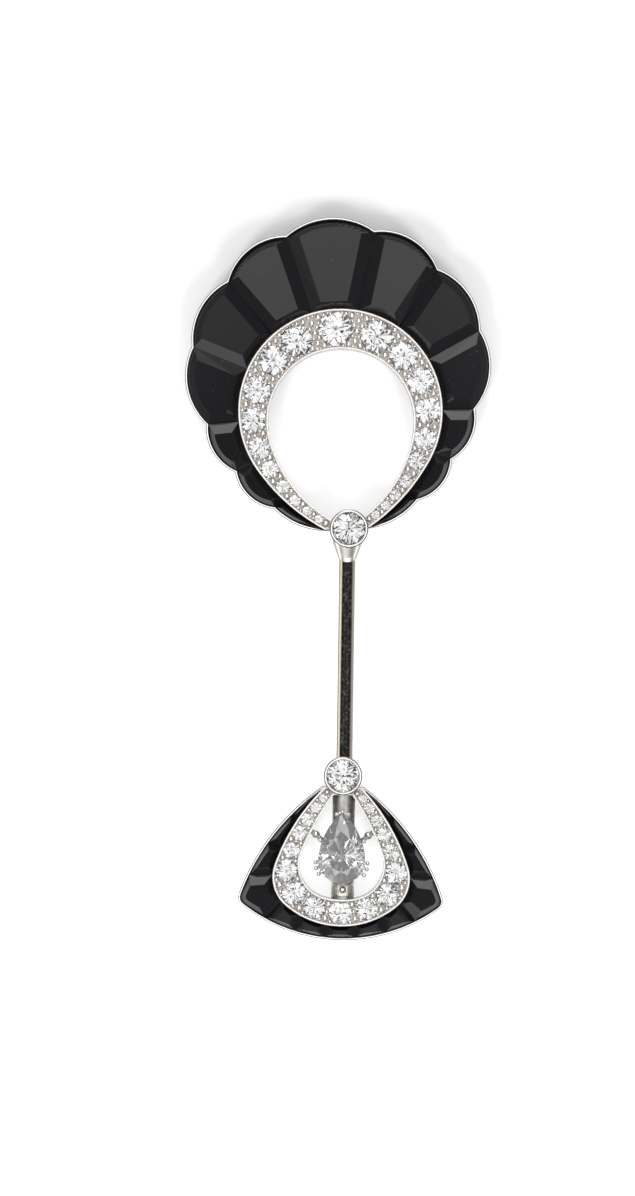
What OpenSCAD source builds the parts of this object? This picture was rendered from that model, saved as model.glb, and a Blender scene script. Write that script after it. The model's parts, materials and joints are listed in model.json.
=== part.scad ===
/* [Overall] */
// Distance along the stem from the crescent's origin to the terminal's origin
span = 27.5; // [24:0.5:32]
// Lean of the head to the left of the stem, in degrees
head_lean = 4.1; // [0:0.1:6]
// Lean of the terminal to the right of the stem, in degrees
terminal_lean = 0.5; // [0:0.1:1]
// Height of the stem's axis above the surface that the pin lies on
stem_z = 1.3; // [1.25:0.01:1.35]

/* [Stem] */
// Diameter of the round stem
stem_d = 1.8; // [1.7:0.05:1.9]
// Distance from the crescent's origin to the end of the neck, where the stem comes out
neck_end = 3.45; // [3:0.05:4]
// Depth of the stem's seat in the neck
stem_seat = 2.2; // [1.5:0.1:2.5]
// How far the stem's point lies below the terminal's origin
stem_reach = 11.8; // [10:0.1:12]
// Length of the tapered point
point_l = 2.6; // [2:0.1:4]
// Width of the black enamel line
enamel_w = 1.05; // [0.9:0.01:1.15]
// Height of the enamel's floor above the stem's axis
enamel_floor = 0.5; // [0.4:0.05:0.6]

/* [Sheath] */
// Outer diameter of the tube that takes the stem's end
tube_d = 2.5; // [2.4:0.05:2.5]
// Room around the stem inside the tube
stem_fit = 0.04; // [0.02:0.01:0.08]

/* [Metalwork] */
// Thickness of the back plate under the onyx
base_t = 0.8; // [0.6:0.05:1]
// Height of the thin rim around the onyx
rim_h = 2.4; // [2.2:0.05:2.5]
// Width of the thin rim around the onyx
rim_w = 0.26; // [0.2:0.01:0.3]
// Height of the bed that holds the rows of diamonds
bed_h = 2.95; // [2.9:0.05:3.1]
// Height of the two rails along the rows of diamonds
rail_h = 3.2; // [3.1:0.05:3.3]
// Width of the two rails along the rows of diamonds
rail_w = 0.2; // [0.15:0.01:0.22]
// Height of both collets
collet_h = 4.25; // [4.2:0.05:4.5]
// Outer radius of both collets
collet_r = 2.12; // [2.1:0.01:2.2]
// Radius of the diamond in each collet
collet_stone_r = 1.8; // [1.7:0.01:1.82]

/* [Onyx] */
// Height of the girdle, where the bevels of the onyx begin
onyx_girdle = 2.3; // [2.2:0.05:2.4]
// Height of the middle of each flat onyx face
onyx_top = 3.0; // [2.9:0.05:3.1]
// Gap between pieces that meet
gap = 0.03; // [0.02:0.01:0.04]

/* [Pear] */
// Height of the pear diamond's girdle
pear_girdle = 4.35; // [4.2:0.05:4.6]
// Depth of the pear diamond below its girdle
pear_depth = 1.65; // [1.4:0.05:1.7]
// Height of the pear diamond above its girdle
pear_crown = 0.62; // [0.5:0.02:0.7]

/* [Hidden] */
$fn = 48;
stem_r = stem_d/2;
tube_r = tube_d/2;
neck_r = 0.98;
neck_top_r = 1.98;
neck_top = 0.7;
point_r = 0.12;
enamel_start = span - neck_end - 0.35;
enamel_end = 1;

// Origins of the head and of the terminal beside the stem's axis
head_side = -0.08;
terminal_side = -0.085;
head_collet = [0.2, -0.2];
terminal_collet = [-0.05, -0.15];

// Proportions of a round stone, as shares of its diameter
stone_depth = 0.42;
stone_crown = 0.16;
stone_girdle = 0.03;
stone_table = 0.56;
culet = 0.07;
seat_share = 0.24;
stone_level = bed_h - 0.05;
collet_girdle = collet_h - 0.32;

// Each edge is a run of arcs that starts on the middle line, heading right: [radius, degrees]
CRESCENT_OUT = [[11.35, 122.2], [22, 26.3]];
CRESCENT_IN = [[8.1, 102.2], [14.5, 47]];
CRESCENT_MID = [[9.71, 111.4], [17.4, 35.4]];
crescent_out_top = 24.27;
crescent_in_top = 19.82;
crescent_mid_top = 22.04;
SHOE_OUT = [[9.6, 40], [4.1, 68.2], [22.4, 26.6]];
SHOE_IN = [[8.4, 11.2], [3.76, 100], [32, 13]];
SHOE_MID = [[7.86, 33.3], [3.95, 75.2], [23.1, 21.6]];
shoe_out_low = 16.87;
shoe_in_low = 13.9;
shoe_mid_low = 15.4;
FAN_RIM = [[18.26, 37.1], [1.05, 71.9], [25, 36]];
fan_rim_low = 18.45;
PEAR = [[2.63, 95], [7.75, 41.8]];
pear_low = 12.1;
pear_centre = [0, -9.2];
claw_z = pear_girdle + 0.38;
grain_r = 0.25;
wire_z = 2.6;
wire_t = 0.5;

WHITE_METAL = [0.85, 0.85, 0.84];
GOLD = [0.83, 0.77, 0.62];
BLACK = [0.07, 0.07, 0.08];
CLEAR = [0.86, 0.91, 0.96];

// Number of straight steps that each panel's edges are drawn with
panel_steps = 12;

// Head panels from the top to one tip: [x and y of the notch at the far end, distance of that
// joint along the crescent, bulge of the rim, side, outer and inner bevel, tilt of the face]
HEAD_PANELS = [
    [4.95, 32.8, 2.6, 1.7, 1.3, 0.8, 0.8, 2.5],
    [11.75, 28.15, 7.57, 1.4, 1.25, 0.8, 0.85, 3],
    [16.1, 21.05, 12.4, 1.3, 1.2, 0.9, 1.0, 1.2],
    [15.0, 12.3, 18.35, 1.45, 1.1, 0.9, 1.0, 0.6],
    [12.1, 6.85, 23.4, 1.0, 1.1, 0.6, 0.9, 0.6],
    [8.05, 2.5, 28.4, 1.0, 0.8, 0.5, 0.75, 0.6],
    [2.4, -0.3, 34.3, 0.62, 0.6, 0.35, 0.45, 0]
];
// Terminal panels from the bottom to the top of one side: [distance of the far joint along the
// rim and along the row of diamonds, side, outer and inner bevel, tilt of the face]
FAN_PANELS = [
    [1.85, 1.56, 0.9, 0.35, 0.45, 1],
    [5.17, 4.8, 0.8, 0.35, 0.45, 1],
    [8.84, 7.2, 0.85, 0.4, 0.5, 1],
    [15.6, 10.5, 1.0, 0.6, 0.7, 0],
    [19.8, 13.5, 0.8, 0.45, 0.6, 0],
    [23.8, 17.2, 0.7, 0.4, 0.5, 0],
    [28.6, 21.7, 0.6, 0.3, 0.35, 0]
];
// Share of the last panel on each side that is left off at its sharp tip
tip_cut = 0.06;

// Head diamonds beside the top one: [distance along the crescent and diameter on the left,
// then on the right]
head_top_stone = 3.6;
HEAD_STONES = [
    [4.6, 3.3, 4.74, 3.45],
    [7.98, 3.1, 8.38, 3.0],
    [11.75, 2.95, 11.8, 2.85],
    [15.18, 2.75, 15.18, 2.75],
    [18.3, 2.36, 18.36, 2.36],
    [20.99, 1.88, 20.95, 1.9],
    [23.38, 1.48, 23.5, 1.46],
    [25.42, 1.2, 25.5, 1.2],
    [27.2, 1.02, 27.05, 1.04],
    [28.75, 0.9, 28.6, 0.92]
];
// Terminal diamonds beside the bottom one: [distance along the row, diameter]
fan_low_stone = 2.5;
FAN_STONES = [
    [2.96, 2.42],
    [5.78, 2.52],
    [8.44, 2.42],
    [10.79, 1.85],
    [12.92, 1.62],
    [14.66, 1.4],
    [16.3, 1.2],
    [17.6, 0.98]
];
// Claws that hold the pear on its right side: [x, y, radius of the grain at its end]
CLAWS = [
    [2.9, -9.75, 0.25],
    [2.82, -10.4, 0.25],
    [2.52, -11.05, 0.25]
];

function place(p) = p == 0 ? "middle" : str(p < 0 ? "left_" : "right_", abs(p));
HEAD_ONYX = [for (p = [-6:6]) str("head_onyx_", place(p))];
FAN_ONYX = [for (p = [-6:6]) str("terminal_onyx_", place(p))];

// Point at distance s along a run of arcs that starts at p with heading h and turns right,
// moved inwards by w
function walk(arcs, s, p, w = 0, h = 0, i = 0) =
    let (r = arcs[i][0], reach = r*arcs[i][1]*PI/180, here = s <= reach || i == len(arcs) - 1)
    let (a = here ? s/r*180/PI : arcs[i][1])
    let (q = [p.x + r*(sin(h) - sin(h - a)), p.y + r*(cos(h - a) - cos(h))])
    here ? q + w*[sin(h - a), -cos(h - a)] : walk(arcs, s - reach, q, w, h - a, i + 1);
function reach_of(arcs, i = 0) =
    i == len(arcs) ? 0 : arcs[i][0]*arcs[i][1]*PI/180 + reach_of(arcs, i + 1);
// Point on an edge whose middle is at height top; s below zero lies left of the middle
function edge(arcs, top, s, up = 1, w = 0) =
    let (p = walk(arcs, abs(s), [0, top], w))
    [(s < 0 ? -1 : 1)*p.x, up*p.y];
function outline(arcs, top, up = 1, w = 0, n = 40) =
    let (whole = reach_of(arcs))
    [for (k = [-n:n]) edge(arcs, top, whole*k/n, up, w)];

// Point at share u of an arc from a to b that bulges by s to the left of its way
function bulge(a, b, s, u) =
    let (c = norm(b - a), r = (c*c/4 + s*s)/(2*s), half = asin(c/2/r))
    let (t = half*(2*u - 1), d = (b - a)/c)
    (a + b)/2 + r*sin(t)*d + (r*cos(t) - r + s)*[-d.y, d.x];

function mirrored(p) = [-p.x, p.y];
function turned(p, a) = [p.x*cos(a) - p.y*sin(a), p.x*sin(a) + p.y*cos(a)];

// The rim is thinner where little room is left beside it
function rim_room(l) = min(rim_w, 0.3*l);

// Outer edge, inside of the rim and inner edge of head panel p at share u of its width
function notch(p) =
    p < 0 ? [-HEAD_PANELS[0].x, HEAD_PANELS[0].y] : [HEAD_PANELS[p].x, HEAD_PANELS[p].y];
function joint_at(p) = p < 0 ? -HEAD_PANELS[0][2] : HEAD_PANELS[p][2];
function head_out(p, u) = bulge(notch(p - 1), notch(p), HEAD_PANELS[p][3], u);
function head_rim(p, u) =
    let (a = head_out(p, u), d = head_in(p, u) - a)
    a + d*rim_room(norm(d))/norm(d);
function head_in(p, u) =
    let (a = joint_at(p - 1), b = joint_at(p))
    edge(CRESCENT_OUT, crescent_out_top, a + u*(b - a));

// The same for the terminal, whose panels run from the bottom upwards
function fan_at(p, column, u) =
    let (a = p == 0 ? -FAN_PANELS[0][column] : FAN_PANELS[p - 1][column])
    a + u*(FAN_PANELS[p][column] - a);
function fan_out(p, u, w = 0) = edge(FAN_RIM, fan_rim_low, fan_at(p, 0, u), -1, w);
function fan_rim(p, u) = fan_out(p, u, rim_room(norm(fan_in(p, u) - fan_out(p, u))));
function fan_in(p, u) = edge(SHOE_OUT, shoe_out_low, fan_at(p, 1, u), -1);

// Point of a panel at shares u and v, kept clear of its edges by the margins [side, outer, inner]
function panel_point(out, in, u, v, m) =
    let (l = norm(out(u) - in(u)), mo = min(m[1], 0.38*l), mi = min(m[2], 0.38*l))
    let (w = (mi + v*(l - mi - mo))/l)
    let (a = in(0) + w*(out(0) - in(0)), b = in(1) + w*(out(1) - in(1)))
    let (ms = min(m[0]/norm(b - a), 0.4), t = ms + u*(1 - 2*ms))
    in(t) + w*(out(t) - in(t));
function panel_ring(out, in, m, n = panel_steps) = concat(
    [for (k = [0:n]) panel_point(out, in, k/n, 1, m)],
    [for (k = [n:-1:0]) panel_point(out, in, k/n, 0, m)]
);

// A whole outline from the edges of the panels, from the left tip to the right tip
function joined(side_point, n = panel_steps) =
    let (right = [for (p = [1:6], k = [0:n - 1]) side_point(p, k/n)])
    let (middle = [for (k = [0:n - 1]) side_point(0, k/n)], side = concat(right, [side_point(6, 1)]))
    concat([for (i = [len(side) - 1:-1:1]) mirrored(side[i])], middle, side);
HEAD_LINE = joined(function(p, u) head_out(p, u));
HEAD_RIM = joined(function(p, u) head_rim(p, u));
FAN_LINE = joined(function(p, u) fan_out(p, u));
FAN_RIM_IN = joined(function(p, u) fan_rim(p, u));

// The part's box decides where its own origin lies: at the middle of its underside
HEAD_PLACED = [for (p = HEAD_LINE) turned(p, head_lean) + [head_side, span]];
FAN_PLACED = [for (p = FAN_LINE) turned(p, -terminal_lean) + [terminal_side, 0]];
stem_x = -(min([for (p = HEAD_PLACED) p.x]) + max([for (p = HEAD_PLACED) p.x]))/2;
stem_y = -(min([for (p = FAN_PLACED) p.y]) + max([for (p = HEAD_PLACED) p.y]))/2;

module at_stem(y) translate([stem_x, stem_y + y, stem_z]) rotate([90, 0, 0]) children();
module at_head()
    translate([stem_x + head_side, stem_y + span, 0]) rotate([0, 0, head_lean]) children();
module at_terminal()
    translate([stem_x + terminal_side, stem_y, 0]) rotate([0, 0, -terminal_lean]) children();

// A solid through rings of equal length, each listed clockwise as seen from above
module stack(rings) {
    n = len(rings[0]);
    top = len(rings) - 1;
    polyhedron(
        points = [for (r = rings) each r],
        faces = concat(
            [[for (i = [n - 1:-1:0]) i]],
            [for (k = [0:top - 1], i = [0:n - 1])
                [k*n + (i + 1)%n, (k + 1)*n + (i + 1)%n, (k + 1)*n + i, k*n + i]],
            [[for (i = [0:n - 1]) top*n + i]]
        )
    );
}

function at_height(ring, z) = [for (p = ring) [p.x, p.y, z]];
function on_slope(ring, z, centre, way, tilt) =
    [for (p = ring) [p.x, p.y, z - tan(tilt)*((p - centre)*way)]];

// One bevelled onyx between the rim and the bed; bevels are [side, outer, inner], and a left one
// is the mirror of a right one
module onyx(out, in, bevels, tilt, left) {
    seat = [gap, gap, gap];
    low = panel_ring(out, in, seat);
    face = panel_ring(out, in, seat + bevels);
    centre = (out(0.5) + in(0.5))/2;
    way = (out(0.5) - in(0.5))/norm(out(0.5) - in(0.5));
    color(BLACK)
        mirror([left ? 1 : 0, 0, 0])
            stack([
                at_height(low, base_t + gap),
                on_slope(low, onyx_girdle, centre, way, tilt),
                on_slope(face, onyx_top, centre, way, tilt)
            ]);
}

module head_onyx(p) {
    q = abs(p);
    row = HEAD_PANELS[q];
    reach = q == 6 ? 1 - tip_cut : 1;
    out = function(u) head_rim(q, u*reach);
    in = function(u) head_in(q, u*reach);
    at_head() onyx(out, in, [row[4], row[5], row[6]], row[7], p < 0);
}

// The terminal's panels run the other way round, from the top of a side to its bottom
module terminal_onyx(p) {
    q = abs(p);
    row = FAN_PANELS[q];
    reach = q == 6 ? 1 - tip_cut : 1;
    out = function(u) fan_rim(q, (1 - u)*reach);
    in = function(u) fan_in(q, (1 - u)*reach);
    at_terminal() onyx(out, in, [row[2], row[3], row[4]], row[5], p < 0);
}

// A round cut stone with its girdle's lower edge at z = 0
function corners(n, r, z) = [for (k = [0:n - 1]) [r*cos(360*k/n), r*sin(360*k/n), z]];
module brilliant(d) {
    table = corners(8, d*stone_table/2, d*(stone_girdle + stone_crown));
    upper = corners(16, d/2, d*stone_girdle);
    lower = corners(16, d/2, 0);
    point = corners(8, d*culet/2, -d*stone_depth);
    u = len(table);
    l = u + len(upper);
    c = l + len(lower);
    polyhedron(
        points = concat(table, upper, lower, point),
        faces = concat(
            [[for (k = [7:-1:0]) k]],
            [for (k = [0:7]) [k, u + 2*k, u + (2*k + 15)%16]],
            [for (k = [0:7]) [k, u + 2*k + 1, u + 2*k]],
            [for (k = [0:7]) [k, (k + 1)%8, u + 2*k + 1]],
            [for (k = [0:15]) [u + k, u + (k + 1)%16, l + (k + 1)%16, l + k]],
            [for (k = [0:7]) [l + (2*k + 15)%16, l + 2*k, c + k]],
            [for (k = [0:7]) [l + 2*k, l + 2*k + 1, c + k]],
            [for (k = [0:7]) [c + k, l + 2*k + 1, c + (k + 1)%8]],
            [[for (k = [0:7]) c + k]]
        )
    );
}

// The room that a round stone takes in its bed, open at the back
module stone_seat(d) {
    floor_z = -d*stone_depth*seat_share - gap;
    translate([0, 0, floor_z]) cylinder(h = 3, r = d/2 + gap);
    translate([0, 0, -5]) cylinder(h = 5 + floor_z + 0.1, r = d/2*(1 - seat_share) + gap);
}

// Places of the small diamonds as [x, y, diameter]
HEAD_FIELD = concat(
    [[0, crescent_mid_top, head_top_stone]],
    [for (s = HEAD_STONES) [each edge(CRESCENT_MID, crescent_mid_top, -s[0]), s[1]]],
    [for (s = HEAD_STONES) [each edge(CRESCENT_MID, crescent_mid_top, s[2]), s[3]]]
);
FAN_FIELD = concat(
    [[0, -shoe_mid_low, fan_low_stone]],
    [for (s = FAN_STONES, side = [-1, 1]) [each edge(SHOE_MID, shoe_mid_low, side*s[0], -1), s[1]]]
);
module field(stones) for (s = stones) translate([s.x, s.y, stone_level]) brilliant(s.z);
module seats(stones) for (s = stones) translate([s.x, s.y, stone_level]) stone_seat(s.z);

module head_diamonds() color(CLEAR) at_head() field(HEAD_FIELD);
module terminal_diamonds() color(CLEAR) at_terminal() field(FAN_FIELD);

// A round collet; its stone's room is cut by collet_room
module collet(at) {
    lip = 0.2;
    translate(at) cylinder(h = collet_h - lip, r = collet_r);
    translate([at.x, at.y, collet_h - lip])
        cylinder(h = lip, r1 = collet_r, r2 = collet_r - 0.6*lip);
}
module collet_room(at) {
    r = collet_stone_r + gap;
    depth = 2*collet_stone_r*stone_depth + gap;
    translate([at.x, at.y, collet_girdle - gap]) cylinder(h = 2, r = r);
    translate([at.x, at.y, collet_girdle - gap - depth]) cylinder(h = depth, r1 = 0.2, r2 = r);
}
module collet_diamond(at) translate([at.x, at.y, collet_girdle]) brilliant(2*collet_stone_r);
module head_collet_diamond() color(CLEAR) at_head() collet_diamond(head_collet);
module terminal_collet_diamond() color(CLEAR) at_terminal() collet_diamond(terminal_collet);

// A flat slab between z = 0 and h
module slab(points, h) linear_extrude(h) polygon(points);
module rail(outer, inner) linear_extrude(rail_h) difference() {
    polygon(outer);
    polygon(inner);
}

// Back plate, thin outer rim, bed and two rails, with the opening and the stone seats cut; the bed
// lies between the outer and the inner run of arcs, [arcs, top] each
module setting(rim, rim_inner, outer, inner, up, stones) {
    bed_out = outline(outer[0], outer[1], up);
    bed_in = outline(inner[0], inner[1], up);
    difference() {
        union() {
            slab(rim, base_t);
            linear_extrude(rim_h) difference() {
                polygon(rim);
                polygon(rim_inner);
            }
            slab(bed_out, bed_h);
            rail(bed_out, outline(outer[0], outer[1], up, rail_w));
            rail(outline(inner[0], inner[1], up, -rail_w), bed_in);
        }
        translate([0, 0, -1]) slab(bed_in, rail_h + 2);
        seats(stones);
    }
}

module neck() {
    intersection() {
        at_stem(span - neck_top) cylinder(h = neck_end - neck_top, r1 = neck_top_r, r2 = neck_r);
        translate([stem_x - 5, stem_y + span - 10, 0]) cube([10, 12, 10]);
    }
}

module head_frame() color(WHITE_METAL) difference() {
    union() {
        at_head() {
            setting(
                HEAD_LINE,
                HEAD_RIM,
                [CRESCENT_OUT, crescent_out_top],
                [CRESCENT_IN, crescent_in_top],
                1,
                HEAD_FIELD
            );
            collet(head_collet);
        }
        neck();
    }
    at_head() collet_room(head_collet);
    at_stem(span - neck_end + stem_seat) cylinder(h = stem_seat + 1, r = stem_r + gap);
}

// The stem from its seat in the neck to its point, with a flat groove for the enamel
module stem() color(GOLD) difference() {
    top = span - neck_end + stem_seat - gap;
    whole = top + stem_reach;
    at_stem(top) rotate_extrude()
        polygon([[0, 0], [stem_r, 0], [stem_r, whole - point_l], [point_r, whole], [0, whole]]);
    at_stem(enamel_start) translate([-enamel_w/2 - gap, enamel_floor - gap, 0])
        cube([enamel_w + 2*gap, stem_r, enamel_start - enamel_end]);
}

module stem_enamel() color(BLACK)
    at_stem(enamel_start - gap) linear_extrude(enamel_start - enamel_end - 2*gap)
        intersection() {
            circle(r = stem_r);
            translate([-enamel_w/2, enamel_floor]) square([enamel_w, stem_r]);
        }

// A round bar from a to b
module bar(a, b, r) {
    d = b - a;
    translate(a) rotate([0, acos(d.z/norm(d)), atan2(d.y, d.x)]) cylinder(h = norm(d), r = r, $fn = 24);
}
module grain(at, r) translate(at) sphere(r = r, $fn = 24);

function about(p, c, k) = [c.x + k*(p.x - c.x), c.y + k*(p.y - c.y)];
function pear_edge(i, n) = edge(PEAR, pear_low, reach_of(PEAR)*(i <= n ? -i : 2*n - i)/n, -1);
function pear_ring(k, n = 12) = [for (i = [0:2*n - 1]) about(pear_edge(i, n), pear_centre, k)];

module pear_diamond() color(CLEAR) at_terminal() stack([
    at_height(pear_ring(0.08), pear_girdle - pear_depth),
    at_height(pear_ring(1), pear_girdle),
    at_height(pear_ring(1), pear_girdle + 0.1),
    at_height(pear_ring(0.62), pear_girdle + pear_crown)
]);

// The wire ring under the pear with its claws, and the arms that reach to the row of diamonds
module pear_wires() {
    ring_z = wire_z + wire_t/2;
    translate([0, 0, wire_z]) linear_extrude(wire_t) difference() {
        polygon(pear_ring(0.66));
        polygon(pear_ring(0.46));
    }
    for (side = [-1, 1]) {
        for (c = CLAWS) {
            tip = [side*c.x, c.y, claw_z];
            foot = about(tip, pear_centre, 0.56);
            bar([foot.x, foot.y, ring_z], tip, 0.2);
            grain(tip, c.z);
        }
        ball = [side*2.9, -6.72, 3.3];
        arm_tip = [side*2.42, -7.3, claw_z];
        bar([side*3.75, -6.2, 2.6], ball, 0.3);
        bar(ball, arm_tip, 0.19);
        bar([side*1.2, -7.9, ring_z], ball, 0.2);
        grain(ball, 0.45);
        grain(arm_tip, grain_r);
    }
    top_grains(ring_z);
}

// Three grains at the pear's tip, on a post that a bar holds to the wire ring
module top_grains(ring_z) {
    middle = [0, -4.1, claw_z];
    post = [middle.x, middle.y + 0.12, ring_z];
    for (side = [-1, 1]) {
        beside = [side*0.62, -4.38, claw_z];
        bar(beside, middle, 0.15);
        grain(beside, grain_r);
    }
    grain(middle, grain_r);
    bar(post, [post.x, post.y, claw_z], 0.18);
    bar([0, -6.4, ring_z], [post.x, post.y + 0.1, ring_z], 0.2);
}

// The wires end just short of the bed, and have notches for the pear's girdle
module pear_mount() color(WHITE_METAL) at_terminal() difference() {
    below = 0.28;
    above = 0.15;
    intersection() {
        pear_wires();
        slab(outline(SHOE_IN, shoe_in_low, -1, gap), 2*claw_z);
    }
    translate([0, 0, pear_girdle - below])
        slab(pear_ring(1 + 1.2*gap/PEAR[0][0]), below + above);
}

// The tube behind the pear that takes the stem, with a rivet on its lower end
module sheath() {
    top = 1.6;
    foot = shoe_in_low + 0.3;
    at_stem(top) cylinder(h = top + foot, r = tube_r);
    translate([stem_x, stem_y - 12.8, 2.45]) sphere(r = 0.42, $fn = 24);
}

module terminal_frame() color(WHITE_METAL) difference() {
    union() {
        at_terminal() {
            setting(
                FAN_LINE,
                FAN_RIM_IN,
                [SHOE_OUT, shoe_out_low],
                [SHOE_IN, shoe_in_low],
                -1,
                FAN_FIELD
            );
            collet(terminal_collet);
        }
        sheath();
    }
    at_terminal() collet_room(terminal_collet);
    at_stem(4) cylinder(h = 4 + stem_reach + 0.4, r = stem_r + stem_fit);
}

head_frame();
stem();
stem_enamel();
head_collet_diamond();
head_diamonds();
terminal_frame();
pear_mount();
pear_diamond();
terminal_collet_diamond();
terminal_diamonds();
for (p = [-6:6]) {
    head_onyx(p);
    terminal_onyx(p);
}
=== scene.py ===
import json
import math
import random
from collections import namedtuple

import bpy
import numpy as np
from mathutils import Matrix, Vector

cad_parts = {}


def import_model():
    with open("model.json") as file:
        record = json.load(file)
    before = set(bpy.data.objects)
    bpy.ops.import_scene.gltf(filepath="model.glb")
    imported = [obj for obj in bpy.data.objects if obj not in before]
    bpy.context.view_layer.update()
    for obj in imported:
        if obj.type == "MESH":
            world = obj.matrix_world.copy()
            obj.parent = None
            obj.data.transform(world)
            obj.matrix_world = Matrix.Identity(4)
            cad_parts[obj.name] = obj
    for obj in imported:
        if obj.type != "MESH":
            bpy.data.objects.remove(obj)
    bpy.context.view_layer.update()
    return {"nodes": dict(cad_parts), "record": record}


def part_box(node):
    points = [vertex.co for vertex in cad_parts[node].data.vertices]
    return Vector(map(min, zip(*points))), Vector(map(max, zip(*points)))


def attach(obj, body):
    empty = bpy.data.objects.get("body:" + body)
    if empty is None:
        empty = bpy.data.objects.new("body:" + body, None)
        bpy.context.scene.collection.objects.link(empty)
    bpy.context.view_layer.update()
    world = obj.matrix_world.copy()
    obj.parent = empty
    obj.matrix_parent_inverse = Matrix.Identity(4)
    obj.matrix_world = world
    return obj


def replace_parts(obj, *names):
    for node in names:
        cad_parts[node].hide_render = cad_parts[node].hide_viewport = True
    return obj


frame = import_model()
MM = 0.001
nodes = frame["nodes"]

# Places, as in the part's source

# Lengths are millimetres up to Pile.make. HEAD, TERMINAL and STEM put the local frames that the
# pieces are drawn in into the shared frame.
# SPAN and STEM_TOP are the distances from the terminal's origin to the head's and to the stem's top
# end, and STEM_H is the height of the stem's axis.
SPAN = 27.5
STEM_TOP = 26.22
STEM_H = 1.3
lo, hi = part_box("stem")
STEM_X, STEM_Y = (lo.x + hi.x) / 2 / MM, hi.y / MM - STEM_TOP
HEAD_SHIFT, HEAD_LEAN = -0.08, math.radians(4.1)
FAN_SHIFT, FAN_LEAN = -0.085, math.radians(-0.5)
HEAD = Matrix.Translation((STEM_X + HEAD_SHIFT, STEM_Y + SPAN, 0)) @ Matrix.Rotation(HEAD_LEAN, 4, "Z")
TERMINAL = Matrix.Translation((STEM_X + FAN_SHIFT, STEM_Y, 0)) @ Matrix.Rotation(FAN_LEAN, 4, "Z")
STEM = Matrix.Translation((STEM_X, STEM_Y, 0))

# An outline with two like sides: the arcs from its middle to an end as (radius, degrees), how far its
# middle is from the origin, and up = 1 where the middle is at the top, -1 where it is at the bottom
Outline = namedtuple("Outline", "arcs middle up")
CRESCENT_OUT = Outline([(11.35, 122.2), (22, 26.3)], 24.27, 1)
CRESCENT_IN = Outline([(8.1, 102.2), (14.5, 47)], 19.82, 1)
SHOE_OUT = Outline([(9.6, 40), (4.1, 68.2), (22.4, 26.6)], 16.87, -1)
SHOE_IN = Outline([(8.4, 11.2), (3.76, 100), (32, 13)], 13.9, -1)
FAN_RIM = Outline([(18.26, 37.1), (1.05, 71.9), (25, 36)], 18.45, -1)
PEAR = Outline([(2.63, 95), (7.75, 41.8)], 12.1, -1)
HEAD_COLLET, TERMINAL_COLLET = (0.2, -0.2), (-0.05, -0.15)
COLLET_H, COLLET_R = 4.25, 2.12
BED_H, RAIL_H, RIM_H, PEAR_GIRDLE = 2.95, 3.2, 2.4, 4.35


def reach(outline):
    """Distance along an outline from its middle to its end."""
    return sum(r * math.radians(a) for r, a in outline.arcs)


def walk(outline, s, inset):
    """Point at distance s along the arcs from the middle, moved inwards by inset."""
    x, y, h = 0.0, outline.middle, 0.0
    for i, (r, a) in enumerate(outline.arcs):
        a = math.radians(a)
        here = s <= r * a or i == len(outline.arcs) - 1
        t = s / r if here else a
        x += r * (math.sin(h) - math.sin(h - t))
        y += r * (math.cos(h - t) - math.cos(h))
        h -= t
        if here:
            return x + inset * math.sin(h), y - inset * math.cos(h)
        s -= r * a


def edge(outline, s, inset=0.0):
    """Point at distance s from the middle, on the left where s is negative."""
    x, y = walk(outline, abs(s), inset)
    return (-x if s < 0 else x), outline.up * y


def along(outline, inset, end=0.0, step=0.25):
    """Points from the left end of an outline to the right one, at about a step apart, but for a
    length end at both ends."""
    whole = reach(outline) - end
    n = int(2 * whole / step)
    return [edge(outline, -whole + 2 * whole * i / n, inset) for i in range(n + 1)]


# The notches between the head's scallops, on the right: [x, y, distance along the crescent's outer
# line, depth of the scallop that ends there]
NOTCHES = [(4.95, 32.8, 2.6, 1.7), (11.75, 28.15, 7.57, 1.4), (16.1, 21.05, 12.4, 1.3),
           (15.0, 12.3, 18.35, 1.45), (12.1, 6.85, 23.4, 1.0), (8.05, 2.5, 28.4, 1.0),
           (2.4, -0.3, 34.3, 0.62)]


def bulge(a, b, depth, share):
    """Point at a share of the arc from a to b that is depth high in its middle."""
    a, b = Vector(a), Vector(b)
    c = (b - a).length
    r = (c * c / 4 + depth * depth) / (2 * depth)
    t = math.asin(c / 2 / r) * (2 * share - 1)
    d = (b - a) / c
    return (a + b) / 2 + r * math.sin(t) * d + (r * math.cos(t) - r + depth) * Vector((-d.y, d.x))


def head_rim(inset, n=14, most=0.3):
    """The scalloped rim from the left tip to the right tip, moved inwards towards the crescent, but
    by no more than the share most of the way there."""
    x, y, s0, depth = NOTCHES[0]
    rows = [((-x, y), (x, y), -s0, s0, depth)]
    rows += [(a[:2], b[:2], a[2], b[2], b[3]) for a, b in zip(NOTCHES, NOTCHES[1:])]
    points = []
    for a, b, s0, s1, depth in rows:
        for k in range(n):
            p = bulge(a, b, depth, k / n)
            q = Vector(edge(CRESCENT_OUT, s0 + (s1 - s0) * k / n))
            w = min(inset, most * (q - p).length)
            points.append(p + w * (q - p).normalized())
    middle, right = points[:n], points[n:]
    return [Vector((-p.x, p.y)) for p in right[:0:-1]] + middle + right


def fan_rim(inset):
    """The terminal's rim from its left end to its right one, moved inwards."""
    return [Vector(p) for p in along(FAN_RIM, inset, end=0.15, step=0.3)]


# The pin's two halves, each with the outlines of its row of diamonds, its rim and its grains' seed
Half = namedtuple("Half", "name body place collet outer inner rim seed")
HALVES = (
    Half("head", "pin", HEAD, HEAD_COLLET, CRESCENT_OUT, CRESCENT_IN, head_rim, 1),
    Half("terminal", "terminal", TERMINAL, TERMINAL_COLLET, SHOE_OUT, SHOE_IN, fan_rim, 2),
)


# Mesh helpers

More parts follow.
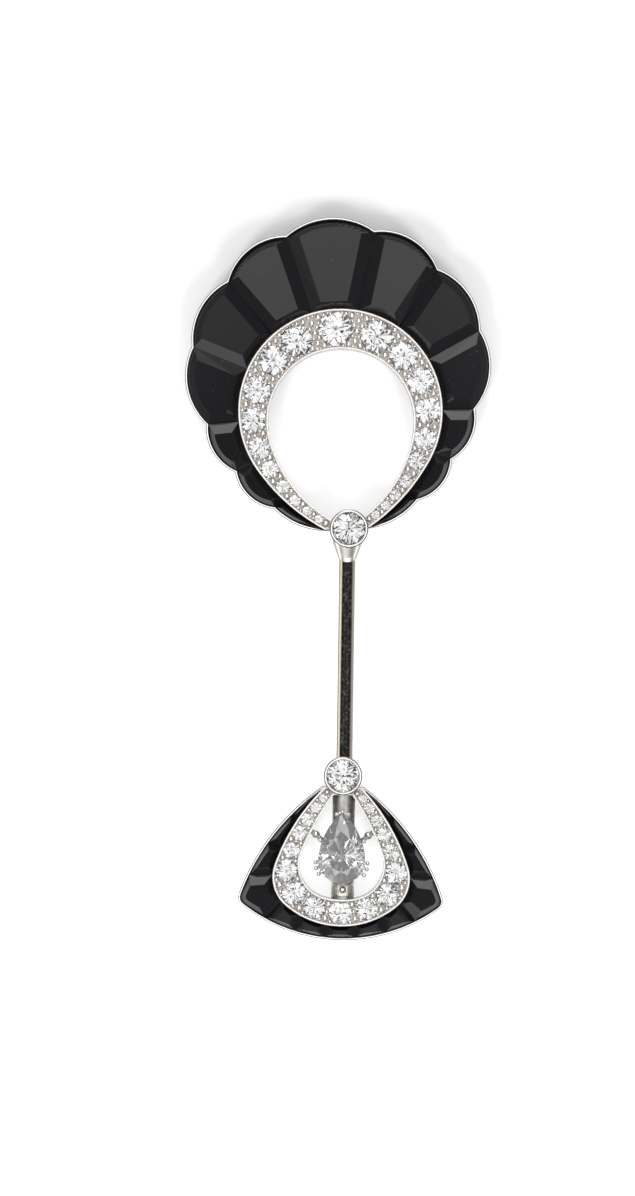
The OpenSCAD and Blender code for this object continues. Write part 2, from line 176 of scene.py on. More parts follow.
class Pile:
    """Collects faces in millimetres of a local frame, and makes one object of them."""

    def __init__(self):
        self.v, self.f, self.smooth = [], [], []

    def add(self, verts, faces, smooth=False):
        n = len(self.v)
        self.v += [tuple(p) for p in verts]
        self.f += [tuple(n + i for i in f) for f in faces]
        self.smooth += [smooth] * len(faces)

    def make(self, name, place, body, slot, material):
        mesh = bpy.data.meshes.new(name)
        to = Matrix.Scale(MM, 4) @ place
        mesh.from_pydata([to @ Vector(p) for p in self.v], [], self.f)
        mesh.polygons.foreach_set("use_smooth", self.smooth)
        mesh.materials.append(material)
        mesh.update()
        piece = bpy.data.objects.new(name, mesh)
        bpy.context.scene.collection.objects.link(piece)
        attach(piece, body)
        return piece


def ball(pile, at, r, squash, rings, sides):
    """A ball, its height squashed, whose rings are turned against each other by half a side."""
    verts = [(at[0], at[1], at[2] + r * squash)]
    for i in range(1, rings):
        a = math.pi * i / rings
        for k in range(sides):
            b = 2 * math.pi * (k + 0.5 * (i % 2)) / sides
            verts.append((at[0] + r * math.sin(a) * math.cos(b), at[1] + r * math.sin(a) * math.sin(b),
                          at[2] + r * squash * math.cos(a)))
    verts.append((at[0], at[1], at[2] - r * squash))
    faces = [(0, 1 + k, 1 + (k + 1) % sides) for k in range(sides)]
    for i in range(rings - 2):
        a, b = 1 + i * sides, 1 + (i + 1) * sides
        faces += [(a + k, b + k, b + (k + 1) % sides, a + (k + 1) % sides) for k in range(sides)]
    a, last = 1 + (rings - 2) * sides, len(verts) - 1
    faces += [(last, a + (k + 1) % sides, a + k) for k in range(sides)]
    pile.add(verts, faces, True)


def loft(pile, rows, closed=False):
    """A skin over rows of points, each row as long as the next."""
    n = len(rows[0])
    verts = [p for row in rows for p in row]
    ends = n if closed else n - 1
    pile.add(verts, [(r * n + i, r * n + (i + 1) % n, (r + 1) * n + (i + 1) % n, (r + 1) * n + i)
                     for r in range(len(rows) - 1) for i in range(ends)])


def circle(at, r, z, n=64):
    """Points round a level circle."""
    turns = [2 * math.pi * k / n for k in range(n)]
    return [(at[0] + r * math.cos(a), at[1] + r * math.sin(a), z) for a in turns]


def beads(pile, path, z, r, pitch):
    """Beads at an even pitch along a path of points."""
    left = 0.0
    for a, b in zip(path, path[1:]):
        d = math.dist(a, b)
        while left < d:
            t = left / d
            at = (a[0] + t * (b[0] - a[0]), a[1] + t * (b[1] - a[1]), z)
            ball(pile, at, r, squash=1.0, rings=4, sides=6)
            left += pitch
        left -= d


# Shader helpers

def shader(name, color, metallic, rough, **more):
    """A material with its node tree and its principled shader."""
    m = bpy.data.materials.new(name)
    m.use_nodes = True
    b = m.node_tree.nodes["Principled BSDF"]
    b.inputs["Base Color"].default_value = (*color, 1)
    b.inputs["Metallic"].default_value = metallic
    b.inputs["Roughness"].default_value = rough
    for k, v in more.items():
        b.inputs[k.replace("_", " ")].default_value = v
    return m, m.node_tree, b


def node(tree, kind, inputs=(), **props):
    """A node whose inputs are linked where they are sockets and set where they are values."""
    n = tree.nodes.new(kind)
    for k, v in props.items():
        setattr(n, k, v)
    for k, v in dict(inputs).items():
        if isinstance(v, bpy.types.NodeSocket):
            tree.links.new(v, n.inputs[k])
        else:
            n.inputs[k].default_value = v
    return n


def coordinate(tree, axis):
    """One of the object coordinates X, Y and Z, in metres."""
    c = node(tree, "ShaderNodeTexCoord")
    xyz = node(tree, "ShaderNodeSeparateXYZ", {"Vector": c.outputs["Object"]})
    return xyz.outputs[axis]


def noise(tree, scale, detail):
    """Noise with scale waves to the millimetre, one number or one for each axis."""
    c = node(tree, "ShaderNodeTexCoord")
    m = node(tree, "ShaderNodeMapping", {"Vector": c.outputs["Object"]})
    waves = scale if isinstance(scale, tuple) else (scale,) * 3
    m.inputs["Scale"].default_value = [s / MM for s in waves]
    n = node(tree, "ShaderNodeTexNoise", {"Vector": m.outputs["Vector"], "Scale": 1.0, "Detail": detail})
    return n.outputs["Fac"]


def between(tree, value, start, end, low=0.0, high=1.0, **props):
    """low where a value is at its start, high where it is at its end, and held beyond them."""
    r = node(tree, "ShaderNodeMapRange", {"Value": value, "From Min": start, "From Max": end,
                                          "To Min": low, "To Max": high}, **props)
    return r.outputs["Result"]


def math_node(tree, operation, a, b=0.5):
    """The result of a sum with a, or with a and b."""
    return node(tree, "ShaderNodeMath", {0: a, 1: b}, operation=operation).outputs[0]


def shaded(tree, color, shade):
    """A colour times a shade."""
    mix = node(tree, "ShaderNodeMix", {"Factor": 1.0, 6: color, 7: shade}, data_type="RGBA",
               blend_type="MULTIPLY")
    return mix.outputs[2]


def ramp(tree, fac, stops):
    """A ramp over fac, through stops of (place, colour or grey)."""
    r = node(tree, "ShaderNodeValToRGB", {"Fac": fac})
    e = r.color_ramp.elements
    while len(e) < len(stops):
        e.new(1.0)
    for s, (p, c) in zip(e, stops):
        s.position = p
        s.color = (*c, 1) if isinstance(c, tuple) else (c, c, c, 1)
    return r.outputs["Color"]


def by_height(tree, stops, whole=5):
    """A ramp over the height above the floor, with stops in millimetres."""
    z = between(tree, coordinate(tree, "Z"), 0.0, whole * MM)
    return ramp(tree, z, [(h / whole, c) for h, c in stops])


def bump(tree, b, height, strength, distance):
    """Lets a height tilt the surface of the shader b."""
    n = node(tree, "ShaderNodeBump", {"Height": height, "Strength": strength, "Distance": distance})
    tree.links.new(n.outputs["Normal"], b.inputs["Normal"])


# Materials

def platinum(name, color, rough, warm, grain=0.03):
    """Polished metal that is warmer in patches, with fine scratches of a depth grain."""
    m, t, b = shader(name, color, 1.0, rough)
    t.links.new(ramp(t, noise(t, 0.6, 3.0), [(0.3, color), (0.7, warm)]), b.inputs["Base Color"])
    fine = noise(t, 7, 4.0)
    t.links.new(between(t, fine, 0.3, 0.7, rough * 0.7, rough * 1.5), b.inputs["Roughness"])
    bump(t, b, fine, 0.5, grain * MM)
    return m


def setting_metal():
    """The frames' metal: bright rails, a warmer bed between the stones that is darker with painted shade,
    and brushed grey that is darker towards the bottom.
    """
    m, t, b = shader("setting_metal", (0.8, 0.79, 0.77), 1.0, 0.25)
    # Colour by height: the bed between rails and stones darker with painted shade and a warm tone, bright
    # rail tops, darker towards the bottom
    tone_and_painted_shade = by_height(t, [(0.0, (0.5, 0.49, 0.48)), (2.6, (0.6, 0.59, 0.58)), (2.85, (0.46, 0.42, 0.39)),
                         (3.05, (0.56, 0.52, 0.48)), (3.12, (0.84, 0.83, 0.81)), (5.0, (0.88, 0.87, 0.85))])
    patches = between(t, noise(t, 2.2, 3.0), 0.35, 0.65, 0.65, 1.0)
    t.links.new(shaded(t, tone_and_painted_shade, patches), b.inputs["Base Color"])
    fine = noise(t, 6, 4.0)
    base = by_height(t, [(0.0, 0.42), (2.62, 0.42), (2.7, 0.2), (5.0, 0.18)])
    rough = math_node(t, "MULTIPLY", base, between(t, fine, 0.3, 0.7, 0.7, 1.3))
    t.links.new(rough, b.inputs["Roughness"])
    bump(t, b, fine, 0.6, 0.05 * MM)
    return m


def gold():
    """Pale gold with painted light across the stem: painted shade along its two edges, a painted highlight
    left of its middle and painted shade on its right side.
    """
    m, t, b = shader("gold", (0.8, 0.72, 0.52), 1.0, 0.2)
    # Painted light by X across the stem: painted shade at both edges, a painted highlight on the left,
    # painted shade on the right
    painted_light_across = ramp(t, between(t, coordinate(t, "X"), (STEM_X - 1) * MM, (STEM_X + 1) * MM), [
        (0.0, (0.1, 0.09, 0.075)), (0.09, (0.12, 0.11, 0.09)), (0.14, (0.52, 0.47, 0.37)),
        (0.2, (0.9, 0.81, 0.64)), (0.5, (0.62, 0.56, 0.44)), (0.78, (0.26, 0.235, 0.2)),
        (0.86, (0.22, 0.2, 0.17)), (0.92, (0.2, 0.185, 0.16)), (1.0, (0.16, 0.15, 0.13))])
    streaks = noise(t, (6, 0.5, 6), 3.0)
    t.links.new(shaded(t, painted_light_across, between(t, streaks, 0.35, 0.65, 0.85, 1.0)), b.inputs["Base Color"])
    bump(t, b, streaks, 0.3, 0.02 * MM)
    return m


def onyx():
    """Polished black stone, with soft scratches and a few specks of dust."""
    black = (0.004, 0.004, 0.005)
    m, t, b = shader("onyx", black, 0.0, 0.04, IOR=1.54)
    t.links.new(between(t, noise(t, (1.2, 5, 3), 6.0), 0.35, 0.75, 0.03, 0.1), b.inputs["Roughness"])
    specks = ramp(t, noise(t, 3.2, 2.0), [(0.74, black), (0.79, (0.05, 0.05, 0.05))])
    t.links.new(specks, b.inputs["Base Color"])
    return m


def enamel():
    """Black enamel, flecked and a little uneven."""
    m, t, b = shader("enamel", (0.01, 0.01, 0.01), 0.0, 0.12, IOR=1.22)
    flecks = noise(t, 3.5, 3.0)
    t.links.new(ramp(t, flecks, [(0.5, (0.006, 0.006, 0.006)), (0.7, (0.05, 0.048, 0.045))]),
                b.inputs["Base Color"])
    bump(t, b, flecks, 0.4, 0.03 * MM)
    return m


def diamond(name, tint, clear):
    """Polished diamond, of which the share clear lets light through."""
    m, _, b = shader(name, tint, 0.0, 0.0, IOR=2.417)
    b.inputs["Transmission Weight"].default_value = clear
    return m


SETTING = setting_metal()
PLATINUM = platinum("platinum", (0.84, 0.83, 0.81), 0.14, (0.86, 0.82, 0.78))
MILGRAIN = platinum("milgrain", (0.86, 0.84, 0.82), 0.14, (0.84, 0.79, 0.74), 0.01)
# A darker copy of the metal for the pear's claws and arms: painted shade
CLAW_PAINTED_SHADE = platinum("claw_painted_shade_metal", (0.62, 0.61, 0.6), 0.14, (0.7, 0.68, 0.66), 0.01)
NECK = platinum("neck_metal", (0.78, 0.76, 0.72), 0.3, (0.86, 0.82, 0.74), 0.04)
# A dark copy of the metal: painted shade on steep flanks, standing in for their reflection of dim
# surroundings
PAINTED_SHADE_METAL = platinum("painted_shade_metal", (0.3, 0.29, 0.28), 0.3, (0.36, 0.34, 0.32), 0.01)
GOLD, ONYX, ENAMEL = gold(), onyx(), enamel()
DIAMOND = diamond("diamond", (0.78, 0.783, 0.786), 1.0)
PALE_DIAMOND = diamond("pale_diamond", (0.98, 0.982, 0.985), 0.9)

SLOT_MATERIAL = {"platinum": SETTING, "gold": GOLD, "onyx": ONYX, "enamel": ENAMEL, "diamond": DIAMOND}
for row in frame["record"]["subparts"]:
    mesh = nodes[row["node"]].data
    mesh.materials.clear()
    mesh.materials.append(SLOT_MATERIAL[row["material_slot"]])
# The pear's mount gets the darker copy of the metal: painted shade
nodes["pear_mount"].data.materials[0] = CLAW_PAINTED_SHADE


# Diamonds

def islands(name):
    """The loose solids of a node as (centre, width, lowest z), in millimetres."""
    mesh = nodes[name].data
    group = list(range(len(mesh.vertices)))

    def find(i):
        while group[i] != i:
            group[i] = group[group[i]]
            i = group[i]
        return i

    spots = {}
    for v in mesh.vertices:
        key = tuple(round(c * 1e7) for c in v.co)
        group[v.index] = find(spots.setdefault(key, v.index))
    for e in mesh.edges:
        a, b = (find(i) for i in e.vertices)
        group[a] = b
    solids = {}
    for v in mesh.vertices:
        solids.setdefault(find(v.index), []).append(v.co / MM)
    found = []
    for pts in solids.values():
        low = Vector(min(p[i] for p in pts) for i in range(3))
        high = Vector(max(p[i] for p in pts) for i in range(3))
        found.append(((low + high) / 2, high.x - low.x, low.z))
    return sorted(found, key=lambda s: (round(s[0].y, 3), round(s[0].x, 3)))


def cut_stone(pile, table, star, upper, lower, main, culet):
    """A stone from six rings: n points round the table, the stars, the lower facets and the culet, and
    2n round both edges of the girdle. Each ring runs anticlockwise as seen from above."""
    n = len(table)
    t, s, g = 0, n, 2 * n
    h, l, q = 4 * n, 6 * n, 7 * n
    faces = [tuple(range(n))]
    for k in range(n):
        after, before = (k + 1) % n, (k - 1) % n
        a, b, e = 2 * k, 2 * k + 1, (2 * k + 2) % (2 * n)
        faces += [
            (t + k, s + k, t + after), (t + k, s + before, g + a), (t + k, g + a, s + k),
            (s + k, g + a, g + b), (s + k, g + b, g + e),
            (l + k, h + b, h + a), (l + k, h + e, h + b),
            (h + a, l + before, q + before), (h + a, q + before, q + k), (h + a, q + k, l + k),
        ]
    faces += [(g + j, h + j, h + (j + 1) % (2 * n), g + (j + 1) % (2 * n)) for j in range(2 * n)]
    faces.append(tuple(q + k for k in range(n - 1, -1, -1)))
    pile.add(table + star + upper + lower + main + culet, faces)


# A round stone's girdle above the lowest point of its solid, as a share of its width
GIRDLE_UP = 0.42


def old_cut(pile, at, d, girdle_z, rnd):
    """An old-cut round diamond: small table, high crown, short lower facets and an open culet. No two
    of its facets are quite alike, as on a stone cut by hand."""
    table_r, crown, depth, culet_r = 0.26 * d, 0.16 * d, 0.41 * d, 0.04 * d
    star_r, low_r, r, thick = 0.38 * d, 0.3 * d, d / 2, 0.03 * d
    turn, half = rnd.uniform(0, math.pi / 4), math.pi / 8
    c = math.cos(half)

    def ring(n, radius, z, start=0.0, wobble=0.0, level=0.3):
        """n points out of place by up to the wobble, and in height by the share level of it."""
        points = []
        for k in range(n):
            a = turn + start + 2 * math.pi * k / n + rnd.uniform(-wobble, wobble)
            rr = radius * (1 + rnd.uniform(-wobble, wobble))
            points.append((at[0] + rr * math.cos(a), at[1] + rr * math.sin(a),
                           girdle_z + z * (1 + rnd.uniform(-wobble, wobble) * level)))
        return points

    star_z = thick + crown * (r - star_r * c) / (r - table_r)
    low_z = -depth * (r - low_r * c) / (r - culet_r * c)
    cut_stone(pile, ring(8, table_r, thick + crown), ring(8, star_r, star_z, half, wobble=0.07),
              ring(16, r, thick), ring(16, r, 0.0), ring(8, low_r, low_z, half, wobble=0.1),
              ring(8, culet_r, -depth, half))


def pear_cut(pile, n=10):
    """The pear-shaped diamond, tip upwards, in the terminal's own millimetres."""
    whole = reach(PEAR)
    girdle = [Vector(edge(PEAR, whole * (k / n - 1))) for k in range(2 * n)]
    rnd = random.Random(11)
    above, below = Vector((0, -8.9)), Vector((0, -9.3))
    # Each ring as (its share of the girdle, its height above the girdle's lower edge)
    table, star, upper = (0.58, 0.62), (0.76, 0.46), (1.0, 0.1)
    lower, main, culet = (1.0, 0.0), (0.6, -0.82), (0.1, -1.64)

    def ring(points, share, z, centre, wobble=0.0):
        """The points drawn in towards a centre, to a share that differs by up to the wobble."""
        shares = [share * (1 + rnd.uniform(-wobble, wobble)) for _ in points]
        return [(*(centre + w * (p - centre)), PEAR_GIRDLE + z) for w, p in zip(shares, points)]

    even, odd = girdle[::2], girdle[1::2]
    cut_stone(pile, ring(even, *table, above), ring(odd, *star, above, wobble=0.03),
              ring(girdle, *upper, above), ring(girdle, *lower, above),
              ring(odd, *main, below, wobble=0.24), ring(odd, *culet, below))


def dress_round(name, body, seed, spread=1.0):
    """Old cuts in place of a node's round stones, spread a little over the edges of their seats."""
    rnd = random.Random(seed)
    pile = Pile()
    for centre, d, low in islands(name):
        old_cut(pile, (centre.x, centre.y), spread * d, low + GIRDLE_UP * d * spread, rnd)
    piece = pile.make(name + "_cut", Matrix.Identity(4), body, "diamond", DIAMOND)
    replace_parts(piece, name)


dress_round("head_diamonds", "pin", seed=3, spread=1.08)
dress_round("head_collet_diamond", "pin", seed=5)
dress_round("terminal_diamonds", "terminal", seed=7, spread=1.05)
dress_round("terminal_collet_diamond", "terminal", seed=9)
pear = Pile()
pear_cut(pear)
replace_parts(pear.make("pear_diamond_cut", TERMINAL, "terminal", "diamond", PALE_DIAMOND), "pear_diamond")


# Rails and milgrain

# Cross-sections as (distance inwards from the edge, height above the top): a crowned middle that
# catches the light, and steep flanks whose darker metal is painted shade
RAIL_SECTION = [(0.06, -0.005), (0.09, 0.0), (0.12, -0.005), (0.16, -0.06)]
RAIL_FLANK = [(0.0, -0.07), (0.06, -0.005)]
RIM_SECTION = [(0.1, 0.07), (0.15, 0.082), (0.19, 0.075), (0.27, 0.0)]
RIM_FLANK = [(0.01, -0.05), (0.015, 0.0), (0.1, 0.07)]
COLLET_SECTION = [(0.11, 0.03), (0.16, 0.045), (0.2, 0.04), (0.23, 0.03)]
COLLET_FLANK = [(-0.015, -0.15), (-0.015, -0.06), (0.11, 0.03)]
COLLET_INSIDE = [(0.23, 0.03), (0.33, -0.06)]
RAIL_W, RAIL_LIFT = 0.2, 0.04
BEAD_R, BEAD_PITCH, BEAD_SINK = 0.1, 0.24, 0.05
# How near to a collet's middle beads and grains, and rails and rims, may come
GRAIN_STOP, EDGE_STOP = 2.15, 2.05


def skin(pile, section, line_at, height, keep, flip):
    """A section drawn along a line, at the points to keep. line_at gives the line at an inset."""
    rows = []
    for inset, z in section:
        line = line_at(inset)
        rows.append([(*line[i], height + z) for i in keep])
    loft(pile, rows[::-1] if flip else rows)


def clear_of(collet, line):
    """Which points of a line are clear of a collet."""
    return [i for i, p in enumerate(line) if math.dist(p, collet) > EDGE_STOP]


for half in HALVES:
    grain, rails, flanks = Pile(), Pile(), Pile()
    for outline, way in ((half.outer, 1), (half.inner, -1)):
        path = [p for p in along(outline, way * RAIL_W) if math.dist(p, half.collet) > GRAIN_STOP]
        beads(grain, path, RAIL_H - BEAD_SINK, BEAD_R, BEAD_PITCH)
        keep = clear_of(half.collet, along(outline, 0.0))
        for pile, section in ((rails, RAIL_SECTION), (flanks, RAIL_FLANK)):
            skin(pile, section, lambda inset: along(outline, way * inset), RAIL_H + RAIL_LIFT, keep,
                 way * outline.up < 0)
    grain.make(half.name + "_milgrain", half.place, half.body, "platinum", MILGRAIN)
    rails.make(half.name + "_rails", half.place, half.body, "platinum", MILGRAIN)
    # The rails' flanks get the dark metal: painted shade
    flanks.make(half.name + "_rail_flanks", half.place, half.body, "platinum", PAINTED_SHADE_METAL)


# Grains between the stones

GRID = 0.09
# The grains' radii, how far they reach over what they touch, and the least share of their room
GRAIN_MIN, GRAIN_MAX, GRAIN_OVERLAP, GRAIN_SHARE = 0.13, 0.42, 0.02, 0.86
# The raised ring round a stone's seat, as (distance out from the stone, height above the bed)
SEAT_RING = ((0.17, -0.03), (0.1, 0.05), (0.02, -0.06))


def inside(poly, pts):
    """Which points lie in a polygon."""
    a, b = np.array(poly), np.roll(np.array(poly), -1, 0)
    hit = np.zeros(len(pts), bool)
    for (x0, y0), (x1, y1) in zip(a, b):
        if y0 != y1:
            cross = (y0 > pts[:, 1]) != (y1 > pts[:, 1])
            hit ^= cross & (pts[:, 0] < (x1 - x0) * (pts[:, 1] - y0) / (y1 - y0) + x0)
    return hit


def to_line(line, pts, chunk=8, far=9.0):
    """The distance from each point to the nearest of a line's points."""
    line = np.array(line)
    best = np.full(len(pts), far)
    for i in range(0, len(line), chunk):
        best = np.minimum(best, np.linalg.norm(pts[:, None] - line[None, i:i + chunk], axis=2).min(1))
    return best


def to_circle(x, y, r, pts):
    """The distance from each point to a circle, negative inside it."""
    return np.hypot(pts[:, 0] - x, pts[:, 1] - y) - r


def grains(pile, outer, inner, stones, collet, seed):
    """Fills the bed between two lines and the stones with round grains, the largest first."""
    rnd = random.Random(seed)
    xs, ys = [p[0] for p in outer], [p[1] for p in outer]
    gx, gy = np.meshgrid(np.arange(min(xs), max(xs), GRID), np.arange(min(ys), max(ys), GRID))
    pts = np.stack([gx.ravel(), gy.ravel()], 1)
    pts = pts[inside(outer, pts) & ~inside(inner, pts)]
    room = np.minimum(to_line(outer, pts), to_line(inner, pts)) + GRAIN_OVERLAP
    for x, y, r in stones:
        room = np.minimum(room, to_circle(x, y, r, pts) + GRAIN_OVERLAP)
    room = np.minimum(room, to_circle(*collet, GRAIN_STOP, pts))
    while True:
        i = int(room.argmax())
        r = min(room[i], GRAIN_MAX)
        if r < GRAIN_MIN:
            break
        x, y = pts[i]
        ball(pile, (x, y, BED_H), r * rnd.uniform(GRAIN_SHARE, 1.0), squash=0.9, rings=6, sides=10)
        room = np.minimum(room, to_circle(x, y, r, pts) + GRAIN_OVERLAP)


for half in HALVES:
    pile = Pile()
    back = half.place.inverted()
    stones = [(*(back @ centre).xy, d / 2) for centre, d, low in islands(half.name + "_diamonds")]
    grains(pile, along(half.outer, RAIL_W), along(half.inner, -RAIL_W), stones, half.collet, half.seed)
    for x, y, r in stones:
        loft(pile, [circle((x, y), r + w, BED_H + z, n=32) for w, z in SEAT_RING], closed=True)
    pile.make(half.name + "_grains", half.place, half.body, "platinum", PLATINUM)


# Rims, collets and the dark bedding

BEDDING_H, BEDDING_INSET = 0.815, 0.2
RIM_MIDDLE = 0.13


def sheet(pile, outer, inner, z):
    """A level strip between two lines of any number of points."""
    n = min(len(outer), len(inner))
    v = [(*line[round(i * (len(line) - 1) / (n - 1))], z) for line in (outer, inner) for i in range(n)]
    pile.add(v, [(i, n + i, n + i + 1, i + 1) for i in range(n - 1)])


for half in HALVES:
    bedding, edges, flanks = Pile(), Pile(), Pile()
    sheet(bedding, half.rim(BEDDING_INSET), along(half.outer, 0.0), BEDDING_H)
    bedding.make(half.name + "_bedding", half.place, half.body, "onyx", ONYX)
    keep = clear_of(half.collet, half.rim(RIM_MIDDLE))
    for pile, section in ((edges, RIM_SECTION), (flanks, RIM_FLANK)):
        skin(pile, section, half.rim, RIM_H, keep, half.outer.up < 0)
    for pile, section in ((edges, COLLET_SECTION), (flanks, COLLET_FLANK), (flanks, COLLET_INSIDE)):
        rings = [circle(half.collet, COLLET_R - inset, COLLET_H + z) for inset, z in section]
        loft(pile, rings, closed=True)
    edges.make(half.name + "_edges", half.place, half.body, "platinum", MILGRAIN)
    # The rims' and collets' flanks get the dark metal: painted shade
    flanks.make(half.name + "_edge_flanks", half.place, half.body, "platinum", PAINTED_SHADE_METAL)


# Neck, sheath and rivet

NECK_TOP, NECK_LOW = 25.9, 24.03
# The neck's radius at NECK_WIDE_Y, its least radius, the length in which it tapers by 1, and how far
# the sleeve stands off it
NECK_WIDE_Y, NECK_WIDE_R, NECK_LEAST_R, NECK_TAPER, NECK_SKIN = 26.8, 1.98, 0.98, 2.75, 0.02
# The tongue's length, how much narrower than half a turn it is, and how round
TONGUE, TONGUE_NARROW, TONGUE_ROUND = 0.42, 1.5, 0.6
# Angles from straight up at which the neck turns to its flanks in painted shade, at which the flanks end,
# and at which the band ends
NECK_TURN, FLANK_TURN, BAND_TURN = math.radians(57), math.radians(100), math.radians(78)
# The band's middle, half its width, its radius, how far its edges fall, and how flat it is between
BAND_Y, BAND_HALF, BAND_R, BAND_FALL, BAND_FLAT = -12.9, 0.75, 1.33, 0.12, 8
RIVET = (0, -12.8)
# The rivet's washer as (radius, height)
RIVET_WASHER = ((0.56, 2.55), (0.5, 2.68), (0.45, 2.66), (0.4, 2.74))
RIVET_R, RIVET_H = 0.44, 2.45


def wrap(pile, r_at, ends, turns, n, rows):
    """A sleeve round the stem's axis. r_at gives the radius at y, and ends the two y at an angle from
    straight up."""
    grid = []
    for j in range(rows + 1):
        row = []
        for i in range(n + 1):
            a = turns[0] + (turns[1] - turns[0]) * i / n
            y0, y1 = ends(a)
            y = y0 + (y1 - y0) * j / rows
            row.append((r_at(y) * math.sin(a), y, STEM_H + r_at(y) * math.cos(a)))
        grid.append(row)
    loft(pile, grid[::-1])


def neck_r(y):
    """The sleeve's radius: the neck's own taper and the skin over it."""
    return NECK_SKIN + max(NECK_LEAST_R, NECK_WIDE_R - (NECK_WIDE_Y - y) / NECK_TAPER)


def neck_ends(a):
    """The sleeve ends in a rounded tongue over the stem."""
    return NECK_TOP, NECK_LOW - TONGUE * max(0.0, math.cos(TONGUE_NARROW * a)) ** TONGUE_ROUND


def band_r(y):
    """A flat band with rounded edges."""
    return BAND_R - BAND_FALL * abs((y - BAND_Y) / BAND_HALF) ** BAND_FLAT


neck, flanks = Pile(), Pile()
wrap(neck, neck_r, neck_ends, (-NECK_TURN, NECK_TURN), n=20, rows=10)
for turns in ((-FLANK_TURN, -NECK_TURN), (NECK_TURN, FLANK_TURN)):
    wrap(flanks, neck_r, lambda a: (NECK_TOP, NECK_LOW), turns, n=8, rows=10)
neck.make("neck_sleeve", STEM, "pin", "platinum", NECK)
# The neck's flanks get the dark metal: painted shade
flanks.make("neck_flanks", STEM, "pin", "platinum", PAINTED_SHADE_METAL)

band = Pile()
band_ends = (BAND_Y + BAND_HALF, BAND_Y - BAND_HALF)
wrap(band, band_r, lambda a: band_ends, (-BAND_TURN, BAND_TURN), n=18, rows=16)
band.make("sheath_band", STEM, "terminal", "platinum", NECK)
rivet = Pile()
loft(rivet, [circle(RIVET, r, z, n=32) for r, z in RIVET_WASHER], closed=True)
ball(rivet, (*RIVET, RIVET_H), RIVET_R, squash=1.0, rings=8, sides=20)
rivet.make("sheath_rivet", STEM, "terminal", "platinum", PLATINUM)


# Stage, light, camera

# From here on lengths are metres
FLOOR_HALF, FLOOR_Z = 1.5, -2e-5
# The floor glows in front and less towards the head, where a soft shadow shows: (y, strength)
GLOW_FRONT, GLOW_HEAD = (-0.005, 0.7), (0.036, 0.14)
KEY_X, KEY_Y, KEY_Z, KEY_SIZE, KEY_POWER = 0.32, -0.41, 0.468, 0.22, 3.3
# Light from the world, as (place from straight overhead, 0, to the horizon, 1, and share of the power).
# Below the horizon it stays as at 1
WORLD_POWER = 2.0
WORLD_LIGHT = [(0.0, 0.05), (0.03, 0.07), (0.1, 0.65), (0.2, 0.95), (0.36, 0.85), (0.46, 0.12),
               (0.75, 0.08), (1.0, 0.25)]
# Soft panels round the pin: [degrees from the zenith, azimuth, full within, gone beyond, brightness]
PANELS = [(57, 97, 11, 27, 2.6), (60, -122, 8, 20, 1.2), (42, 200, 6, 16, 0.9), (45, -20, 5, 14, 0.8)]
# The camera's place, CAMERA_X and CAMERA_Y from STEM's origin, and its film's width in millimetres
CAMERA_H, FOCUS_H, SENSOR = 0.7, 0.003, 36
CAMERA_X, CAMERA_Y, CAMERA_TURN = -0.0032543, 0.019566, math.radians(0.82)
PHOTO_H, PX_PER_MM = 1196, 9.0


def floor():
    """The floor under the pin, which glows a little."""
    mesh = bpy.data.meshes.new("floor")
    s, z = FLOOR_HALF, FLOOR_Z
    mesh.from_pydata([(-s, -s, z), (s, -s, z), (s, s, z), (-s, s, z)], [], [(0, 1, 2, 3)])
    m, t, b = shader("floor", (0.5, 0.5, 0.5), 0.0, 0.7)
    b.inputs["Specular IOR Level"].default_value = 0.0
    b.inputs["Emission Color"].default_value = (1, 1, 1, 1)
    (y0, strength0), (y1, strength1) = GLOW_FRONT, GLOW_HEAD
    t.links.new(between(t, coordinate(t, "Y"), y0, y1, strength0, strength1), b.inputs["Emission Strength"])
    mesh.materials.append(m)
    o = bpy.data.objects.new("floor", mesh)
    bpy.context.scene.collection.objects.link(o)


def softbox(name, at, size, power):
    """A square light that faces the origin, and isn't seen in reflections or through stones."""
    data = bpy.data.lights.new(name, "AREA")
    data.shape = "RECTANGLE"
    data.size = data.size_y = size
    data.energy = power
    o = bpy.data.objects.new(name, data)
    o.location = at
    o.rotation_euler = (-Vector(at)).to_track_quat("-Z", "Y").to_euler()
    o.visible_glossy = o.visible_transmission = False
    bpy.context.scene.collection.objects.link(o)


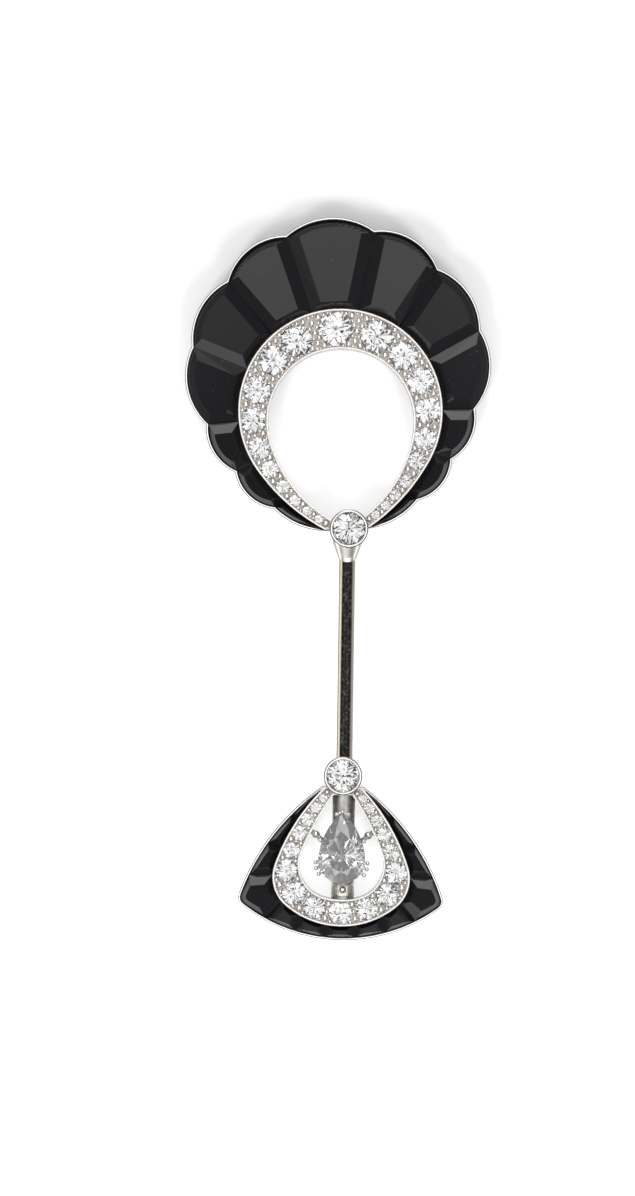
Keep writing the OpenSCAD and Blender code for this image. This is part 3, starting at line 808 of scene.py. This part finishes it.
def direction(zenith, azimuth):
    """The direction at some degrees from the zenith and at an azimuth."""
    z, a = math.radians(zenith), math.radians(azimuth)
    return math.sin(z) * math.cos(a), math.sin(z) * math.sin(a), math.cos(z)


def world():
    """A dark spot overhead, a bright ring round it, dim walls and a few soft panels."""
    w = bpy.data.worlds.new("studio")
    w.use_nodes = True
    t = w.node_tree
    bg = t.nodes["Background"]
    bg.inputs["Color"].default_value = (1, 1, 1, 1)
    c = node(t, "ShaderNodeTexCoord")
    xyz = node(t, "ShaderNodeSeparateXYZ", {"Vector": c.outputs["Generated"]})
    angle = math_node(t, "ARCCOSINE", xyz.outputs["Z"])
    light = ramp(t, math_node(t, "MULTIPLY", angle, 2 / math.pi), WORLD_LIGHT)
    total = math_node(t, "MULTIPLY", light, WORLD_POWER)
    for zenith, azimuth, full, gone, strength in PANELS:
        dot = node(t, "ShaderNodeVectorMath", {0: c.outputs["Generated"], 1: direction(zenith, azimuth)},
                   operation="DOT_PRODUCT")
        panel = between(t, dot.outputs["Value"], math.cos(math.radians(gone)),
                        math.cos(math.radians(full)), 0.0, strength, interpolation_type="SMOOTHSTEP")
        total = math_node(t, "ADD", total, panel)
    t.links.new(total, bg.inputs["Strength"])
    bpy.context.scene.world = w


def photo_camera():
    """Looks straight down, and shows the photo's height at its scale at the height of the stones."""
    data = bpy.data.cameras.new("camera")
    camera = bpy.data.objects.new("camera", data)
    bpy.context.scene.collection.objects.link(camera)
    camera.location = (STEM_X * MM + CAMERA_X, STEM_Y * MM + CAMERA_Y, CAMERA_H)
    camera.rotation_euler = (0, 0, CAMERA_TURN)
    data.sensor_width = SENSOR
    data.lens = SENSOR * (CAMERA_H - FOCUS_H) / (PHOTO_H / PX_PER_MM * MM)
    data.clip_start, data.clip_end = 0.01, 10
    bpy.context.scene.camera = camera


floor()
world()
softbox("key_left", (-KEY_X, KEY_Y, KEY_Z), KEY_SIZE, KEY_POWER)
softbox("key_right", (KEY_X, KEY_Y, KEY_Z), KEY_SIZE, KEY_POWER)
photo_camera()
view = bpy.context.scene.view_settings
view.view_transform = "Standard"
view.look = "None"
